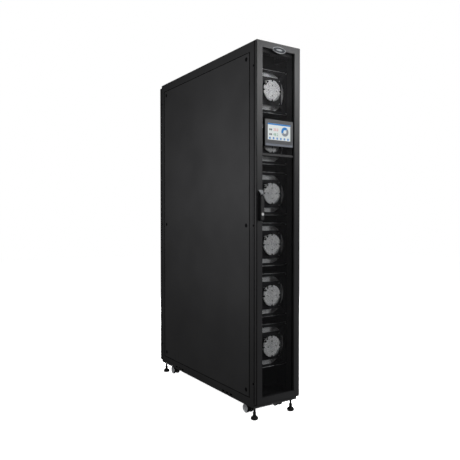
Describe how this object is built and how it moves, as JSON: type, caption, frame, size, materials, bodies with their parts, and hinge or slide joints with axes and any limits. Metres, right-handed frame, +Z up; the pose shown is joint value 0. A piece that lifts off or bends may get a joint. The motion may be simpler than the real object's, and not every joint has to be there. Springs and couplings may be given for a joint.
{
  "type": "in row cooling unit",
  "caption": "Tall narrow in-row cooler: perforated doors with touch display and swing handles, stacked discharge fans, coil, side panels, levelling feet and casters",
  "frame": {"origin": "on the floor under the centre of the 300 x 1200 mm footprint", "axes": "+Z up, -Y out of the front door with the display, +X to the right seen from the front"},
  "size_m": [0.3, 1.253, 2.07],
  "materials": {
    "frame_paint": "satin powder coat",
    "panel_paint": "satin powder coat",
    "door_paint": "satin powder coat",
    "mesh_paint": "satin powder coat",
    "fastener_plastic": "matt",
    "zinc_steel": "zinc plated",
    "galvanised_sheet": "galvanised",
    "dark_bracket": "satin",
    "cast_aluminium": "die cast",
    "impeller_aluminium": "satin",
    "fin_aluminium": "mill finish",
    "copper": null,
    "stainless": "brushed",
    "filter_media": "pleated fibre",
    "badge_metal": "satin chrome",
    "bezel_plastic": "fine texture",
    "screen_glass": "backlit screen under clear cover",
    "handle_plastic": "glass filled nylon",
    "lock_chrome": "polished",
    "foot_rubber": "matt",
    "fork_plastic": "nylon",
    "wheel_plastic": "nylon"
  },
  "bodies": {
    "cabinet": {"base_frame": "frame_paint", "base_pan": "galvanised_sheet", "top_frame": "frame_paint", "top_cover": "panel_paint", "front_left_post": "frame_paint", "front_right_post": "frame_paint", "rear_left_post": "frame_paint", "rear_right_post": "frame_paint", "left_side_panel": "panel_paint", "right_side_panel": "panel_paint", "panel_fasteners": "fastener_plastic", "hinge_brackets": "zinc_steel", "fan_wall": "galvanised_sheet", "fan_trays": "galvanised_sheet", "fan_brackets": "dark_bracket", "fan_motors": "cast_aluminium", "inlet_rings": "galvanised_sheet", "cooling_coil": "fin_aluminium", "water_pipes": "copper", "drain_pan": "stainless", "electrical_box": "panel_paint", "air_filter": "filter_media"},
    "front_door": {"front_door_frame": "door_paint", "front_door_mesh": "mesh_paint", "door_crossbar": "door_paint", "door_badge": "badge_metal", "display_case": "bezel_plastic", "display_screen": "screen_glass", "front_handle_base": "handle_plastic"},
    "rear_door": {"rear_door_frame": "door_paint", "rear_door_mesh": "mesh_paint", "rear_handle_base": "handle_plastic"},
    "front_handle": {"front_spindle": "zinc_steel"},
    "front_lever": {"front_lever": "handle_plastic"},
    "front_lock": {"front_lock": "lock_chrome"},
    "front_upper_rod": {"front_upper_rod": "zinc_steel"},
    "front_lower_rod": {"front_lower_rod": "zinc_steel"},
    "rear_handle": {"rear_spindle": "zinc_steel"},
    "rear_lever": {"rear_lever": "handle_plastic"},
    "rear_lock": {"rear_lock": "lock_chrome"},
    "rear_upper_rod": {"rear_upper_rod": "zinc_steel"},
    "rear_lower_rod": {"rear_lower_rod": "zinc_steel"},
    "impeller_1": {"impeller_1": "impeller_aluminium"},
    "impeller_2": {"impeller_2": "impeller_aluminium"},
    "impeller_3": {"impeller_3": "impeller_aluminium"},
    "impeller_4": {"impeller_4": "impeller_aluminium"},
    "impeller_5": {"impeller_5": "impeller_aluminium"},
    "impeller_6": {"impeller_6": "impeller_aluminium"},
    "foot_front_left": {"foot_front_left": "foot_rubber"},
    "fork_front_left": {"fork_front_left": "fork_plastic"},
    "wheel_front_left": {"wheel_front_left": "wheel_plastic"},
    "foot_front_right": {"foot_front_right": "foot_rubber"},
    "fork_front_right": {"fork_front_right": "fork_plastic"},
    "wheel_front_right": {"wheel_front_right": "wheel_plastic"},
    "foot_rear_left": {"foot_rear_left": "foot_rubber"},
    "fork_rear_left": {"fork_rear_left": "fork_plastic"},
    "wheel_rear_left": {"wheel_rear_left": "wheel_plastic"},
    "foot_rear_right": {"foot_rear_right": "foot_rubber"},
    "fork_rear_right": {"fork_rear_right": "fork_plastic"},
    "wheel_rear_right": {"wheel_rear_right": "wheel_plastic"}
  },
  "joints": [
    {"name": "front_door_hinge", "type": "hinge", "parent": "cabinet", "child": "front_door", "pos_m": [0.143, -0.593, 1.05], "axis": [0, 0, 1], "range_deg": [0, 105]},
    {"name": "front_handle_turn", "type": "hinge", "parent": "front_door", "child": "front_handle", "pos_m": [-0.1275, -0.6, 1.226], "axis": [0, -1, 0], "range_deg": [0, 90]},
    {"name": "front_lever_lift", "type": "hinge", "parent": "front_handle", "child": "front_lever", "pos_m": [-0.1275, -0.616, 1.226], "axis": [-1, 0, 0], "range_deg": [0, 30]},
    {"name": "front_lock_turn", "type": "hinge", "parent": "front_lever", "child": "front_lock", "pos_m": [-0.1275, -0.62, 1.132], "axis": [0, -1, 0], "range_deg": [0, 90]},
    {"name": "front_upper_rod_slide", "type": "slide", "parent": "front_door", "child": "front_upper_rod", "axis": [0, 0, -1], "range_m": [0, 0.0095]},
    {"name": "front_lower_rod_slide", "type": "slide", "parent": "front_door", "child": "front_lower_rod", "axis": [0, 0, 1], "range_m": [0, 0.0095]},
    {"name": "rear_door_hinge", "type": "hinge", "parent": "cabinet", "child": "rear_door", "pos_m": [-0.143, 0.593, 1.05], "axis": [0, 0, 1], "range_deg": [0, 105]},
    {"name": "rear_handle_turn", "type": "hinge", "parent": "rear_door", "child": "rear_handle", "pos_m": [0.1275, 0.6, 1.226], "axis": [0, 1, 0], "range_deg": [0, 90]},
    {"name": "rear_lever_lift", "type": "hinge", "parent": "rear_handle", "child": "rear_lever", "pos_m": [0.1275, 0.616, 1.226], "axis": [1, 0, 0], "range_deg": [0, 30]},
    {"name": "rear_lock_turn", "type": "hinge", "parent": "rear_lever", "child": "rear_lock", "pos_m": [0.1275, 0.62, 1.132], "axis": [0, 1, 0], "range_deg": [0, 90]},
    {"name": "rear_upper_rod_slide", "type": "slide", "parent": "rear_door", "child": "rear_upper_rod", "axis": [0, 0, -1], "range_m": [0, 0.0095]},
    {"name": "rear_lower_rod_slide", "type": "slide", "parent": "rear_door", "child": "rear_lower_rod", "axis": [0, 0, 1], "range_m": [0, 0.0095]},
    {"name": "impeller_1_spin", "type": "hinge", "parent": "cabinet", "child": "impeller_1", "pos_m": [0, -0.46, 0.387], "axis": [0, -1, 0], "continuous": true},
    {"name": "impeller_2_spin", "type": "hinge", "parent": "cabinet", "child": "impeller_2", "pos_m": [0, -0.46, 0.675], "axis": [0, -1, 0], "continuous": true},
    {"name": "impeller_3_spin", "type": "hinge", "parent": "cabinet", "child": "impeller_3", "pos_m": [0, -0.46, 0.963], "axis": [0, -1, 0], "continuous": true},
    {"name": "impeller_4_spin", "type": "hinge", "parent": "cabinet", "child": "impeller_4", "pos_m": [0, -0.46, 1.251], "axis": [0, -1, 0], "continuous": true},
    {"name": "impeller_5_spin", "type": "hinge", "parent": "cabinet", "child": "impeller_5", "pos_m": [0, -0.46, 1.539], "axis": [0, -1, 0], "continuous": true},
    {"name": "impeller_6_spin", "type": "hinge", "parent": "cabinet", "child": "impeller_6", "pos_m": [0, -0.46, 1.827], "axis": [0, -1, 0], "continuous": true},
    {"name": "foot_front_left_adjust", "type": "slide", "parent": "cabinet", "child": "foot_front_left", "axis": [0, 0, -1], "range_m": [0, 0.025]},
    {"name": "caster_front_left_swivel", "type": "hinge", "parent": "cabinet", "child": "fork_front_left", "pos_m": [-0.1035, -0.44, 0.05], "axis": [0, 0, 1], "continuous": true},
    {"name": "wheel_front_left_roll", "type": "hinge", "parent": "fork_front_left", "child": "wheel_front_left", "pos_m": [-0.1035, -0.455, 0.034], "axis": [1, 0, 0], "continuous": true},
    {"name": "foot_front_right_adjust", "type": "slide", "parent": "cabinet", "child": "foot_front_right", "axis": [0, 0, -1], "range_m": [0, 0.025]},
    {"name": "caster_front_right_swivel", "type": "hinge", "parent": "cabinet", "child": "fork_front_right", "pos_m": [0.1035, -0.44, 0.05], "axis": [0, 0, 1], "continuous": true},
    {"name": "wheel_front_right_roll", "type": "hinge", "parent": "fork_front_right", "child": "wheel_front_right", "pos_m": [0.1035, -0.455, 0.034], "axis": [1, 0, 0], "continuous": true},
    {"name": "foot_rear_left_adjust", "type": "slide", "parent": "cabinet", "child": "foot_rear_left", "axis": [0, 0, -1], "range_m": [0, 0.025]},
    {"name": "caster_rear_left_swivel", "type": "hinge", "parent": "cabinet", "child": "fork_rear_left", "pos_m": [-0.1035, 0.44, 0.05], "axis": [0, 0, 1], "continuous": true},
    {"name": "wheel_rear_left_roll", "type": "hinge", "parent": "fork_rear_left", "child": "wheel_rear_left", "pos_m": [-0.1035, 0.455, 0.034], "axis": [1, 0, 0], "continuous": true},
    {"name": "foot_rear_right_adjust", "type": "slide", "parent": "cabinet", "child": "foot_rear_right", "axis": [0, 0, -1], "range_m": [0, 0.025]},
    {"name": "caster_rear_right_swivel", "type": "hinge", "parent": "cabinet", "child": "fork_rear_right", "pos_m": [0.1035, 0.44, 0.05], "axis": [0, 0, 1], "continuous": true},
    {"name": "wheel_rear_right_roll", "type": "hinge", "parent": "fork_rear_right", "child": "wheel_rear_right", "pos_m": [0.1035, 0.455, 0.034], "axis": [1, 0, 0], "continuous": true}
  ],
  "couplings": [
    {"joint": "front_upper_rod_slide", "follows": "front_handle_turn", "m_per_rad": 0.006},
    {"joint": "front_lower_rod_slide", "follows": "front_handle_turn", "m_per_rad": 0.006},
    {"joint": "rear_upper_rod_slide", "follows": "rear_handle_turn", "m_per_rad": 0.006},
    {"joint": "rear_lower_rod_slide", "follows": "rear_handle_turn", "m_per_rad": 0.006}
  ]
}
